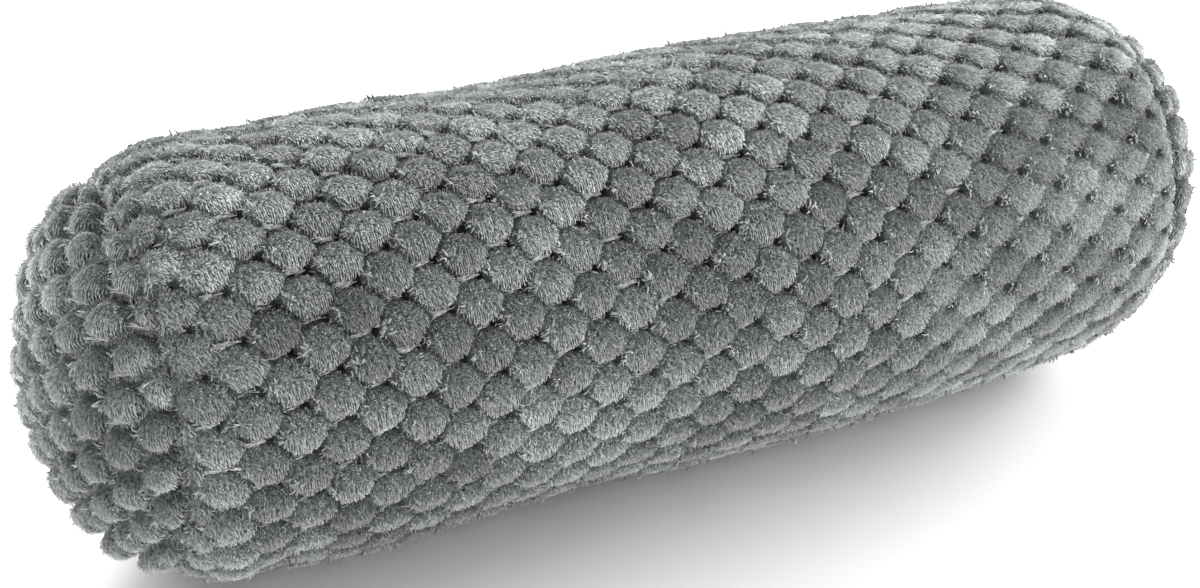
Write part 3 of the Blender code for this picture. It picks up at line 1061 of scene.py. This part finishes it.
def disc(reach, segments):
    """Spots on rings round a middle spot, the faces between them, and the outer ring."""
    turn = np.arange(segments) * (2 * math.pi / segments)
    rings = np.stack([np.outer(reach, np.cos(turn)), np.outer(reach, np.sin(turn))], -1)
    index = 1 + np.arange(len(reach) * segments).reshape(-1, segments)
    after = np.roll(index, -1, axis=1)
    quads = np.stack([index[:-1], index[1:], after[1:], after[:-1]], -1).reshape(-1, 4)
    fan = np.stack([np.zeros(segments, int), index[0], after[0]], 1)
    return np.concatenate([[[0, 0]], rings.reshape(-1, 2)]), quads, fan, index[-1]


def end_cloth(panel, name):
    """An end's cloth: its padded front and a plain back, closed round the rim."""
    reach = np.linspace(0, panel.rim, END_RINGS + 1)[1:]
    spots, quads, fan, rim = disc(reach, END_SEGMENTS)
    back_spots, back_quads, back_fan, back_rim = disc(reach[5::8], END_SEGMENTS)
    front = cloth_points(panel, spots)
    back = panel.place(back_spots, CLOTH_GROOVE - SEAM_SINK - CLOTH_THICK)
    count = len(spots)
    back_rim = back_rim + count
    joined = np.stack([rim, back_rim, np.roll(back_rim, -1), np.roll(rim, -1)], 1)
    quads = np.concatenate([quads, back_quads[:, ::-1] + count, joined])
    fan = np.concatenate([fan, back_fan[:, ::-1] + count])
    if panel.side < 0:
        quads, fan = quads[:, ::-1], fan[:, ::-1]
    points = settle(np.concatenate([front, back]))
    points[:, 2] = np.maximum(points[:, 2], FLOOR_GAP)
    flat = np.concatenate([spots, back_spots]) / panel.rim * (0.24, 0.48) + (0.25, 0.5)
    flat[count:, 0] += 0.5
    uv = np.concatenate([flat[quads.ravel()], flat[fan.ravel()]])
    piece = new_mesh(name, points, [quads, fan], uv)
    shade_cloth(piece, panel, np.concatenate([spots, back_spots]))
    return piece


# Materials
def plush(name, root, tip, pale, grain):
    """Plush that runs from root to tip in red, and is shaded by the other three channels."""
    material = bpy.data.materials.new(name)
    material.use_nodes = True
    nodes = material.node_tree.nodes
    links = material.node_tree.links
    shader = nodes["Principled BSDF"]
    shader.inputs["Roughness"].default_value = 0.9
    shader.inputs["Specular IOR Level"].default_value = 0.25
    shader.inputs["Sheen Weight"].default_value = 1.0
    shader.inputs["Sheen Roughness"].default_value = 0.35
    shader.inputs["Sheen Tint"].default_value = (0.97, 1.0, 0.98, 1)

    plush_data = nodes.new("ShaderNodeAttribute")
    plush_data.attribute_name = "Plush"
    split = nodes.new("ShaderNodeSeparateColor")
    links.new(plush_data.outputs["Color"], split.inputs["Color"])

    ramp = nodes.new("ShaderNodeValToRGB")
    ramp.color_ramp.elements[0].color = (*root, 1)
    ramp.color_ramp.elements[1].color = (*tip, 1)
    links.new(split.outputs["Red"], ramp.inputs["Fac"])
    place = nodes.new("ShaderNodeNewGeometry")

    def speckled(scale, detail):
        node = nodes.new("ShaderNodeTexNoise")
        node.inputs["Scale"].default_value = scale
        node.inputs["Detail"].default_value = detail
        links.new(place.outputs["Position"], node.inputs["Vector"])
        return node.outputs["Fac"]

    def scaled(value, low, high):
        node = nodes.new("ShaderNodeMapRange")
        node.inputs["To Min"].default_value = low
        node.inputs["To Max"].default_value = high
        links.new(value, node.inputs["Value"])
        return node.outputs["Result"]

    def multiplied(first, second):
        node = nodes.new("ShaderNodeMath")
        node.operation = "MULTIPLY"
        links.new(first, node.inputs[0])
        links.new(second, node.inputs[1])
        return node.outputs[0]

    tone = scaled(split.outputs["Green"], 0.5, 1.5)
    tone = multiplied(tone, scaled(speckled(BROAD_SPECKS, 3), 0.6, 1.4))
    tone = multiplied(tone, scaled(split.outputs["Blue"], 0.80, 1.22))
    tone = multiplied(tone, scaled(plush_data.outputs["Alpha"], 1.0, pale))
    tone = multiplied(tone, scaled(speckled(FINE_SPECKS, 1), 1 - grain, 1 + grain))
    mix = nodes.new("ShaderNodeVectorMath")
    mix.operation = "SCALE"
    links.new(ramp.outputs["Color"], mix.inputs[0])
    links.new(tone, mix.inputs["Scale"])
    links.new(mix.outputs[0], shader.inputs["Base Color"])
    return material


# The studio
def make_floor():
    data = bpy.data.meshes.new("floor")
    half = 6.0
    corners = [(-half, -half, 0), (half, -half, 0), (half, half, 0), (-half, half, 0)]
    data.from_pydata(corners, [], [(0, 1, 2, 3)])
    floor = placed("floor", data)
    material = bpy.data.materials.new("pale_floor")
    material.use_nodes = True
    shader = material.node_tree.nodes["Principled BSDF"]
    shader.inputs["Base Color"].default_value = (0.96, 0.96, 0.96, 1)
    shader.inputs["Roughness"].default_value = 1.0
    data.materials.append(material)


def make_light(name, place, target, size, power):
    light = bpy.data.lights.new(name, "AREA")
    light.size = size
    light.energy = power
    lamp = placed(name, light)
    lamp.location = place
    aim = Vector(target) - Vector(place)
    lamp.rotation_euler = aim.to_track_quat("-Z", "Y").to_euler()


def make_studio():
    make_floor()
    make_light("key", (-0.3, 0.5, 1.3), (0, 0, 0.08), 1.2, 7)
    make_light("back", (-0.25, 1.4, 0.75), (0, 0, 0.10), 1.2, 54)
    make_light("left", (-1.4, -0.6, 0.15), (-0.25, 0, 0.06), 0.6, 10)
    make_light("right", (1.5, 0.0, 0.6), (0.1, 0, 0.08), 0.8, 31)
    make_light("front_right", (1.4, -0.6, 0.22), (0.2, 0, 0.05), 0.8, 15)
    make_light("low_front", (1.1, -1.0, 0.15), (0.15, 0, 0.02), 0.6, 8)
    world = bpy.data.worlds.new("studio")
    world.use_nodes = True
    background = world.node_tree.nodes["Background"]
    background.inputs["Color"].default_value = (1, 1, 1, 1)
    background.inputs["Strength"].default_value = 0.38
    bpy.context.scene.world = world
    bpy.context.scene.view_settings.view_transform = "Standard"


def make_camera():
    data = bpy.data.cameras.new("camera")
    data.sensor_width = SENSOR
    data.lens = FOCAL_PIXELS / PHOTO_WIDTH * SENSOR
    camera = placed("camera", data)
    level = Vector((math.sin(AZIMUTH), math.cos(AZIMUTH), 0))
    up_z = Vector((0, 0, 1))
    ahead = level * math.cos(ELEVATION) - up_z * math.sin(ELEVATION)
    up = level * math.sin(ELEVATION) + up_z * math.cos(ELEVATION)
    right = Vector((math.cos(AZIMUTH), -math.sin(AZIMUTH), 0))
    centre = Vector((0, 0, AXIS_Z))
    place = centre - ahead * DISTANCE + right * ASIDE + up * RISE
    turn = Matrix((right, up, -ahead)).transposed().to_4x4()
    camera.matrix_world = Matrix.Translation(place) @ turn
    bpy.context.scene.camera = camera


def dress(piece, material, slot, *nodes):
    piece.data.materials.append(material)
    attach(piece, "root")
    if nodes:
        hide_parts(*nodes)


make_camera()
make_studio()
pile_finish = plush("plush_pile", PILE_ROOT_IN_SHADE, PILE_TIP, PILE_PALE, PILE_GRAIN)
cloth_finish = plush("plush_ground", GROUND_IN_SHADE, GROUND_IN_SHADE, GROUND_PALE, GROUND_GRAIN)
side_give, left_give, right_give = simulated_give()
side_panel = Side(side_give)
dress(side_cloth(side_panel), cloth_finish, "side_plush", "filled_side_panel")
for made in side_pile(side_panel):
    dress(made, pile_finish, "side_plush")
for panel, where in ((End(-1, left_give), "left"), (End(1, right_give), "right")):
    dress(end_cloth(panel, f"end_cloth_{where}"), cloth_finish, "end_plush", f"end_panel_{where}")
    dress(end_pile(panel, f"end_pile_{where}"), pile_finish, "end_plush")
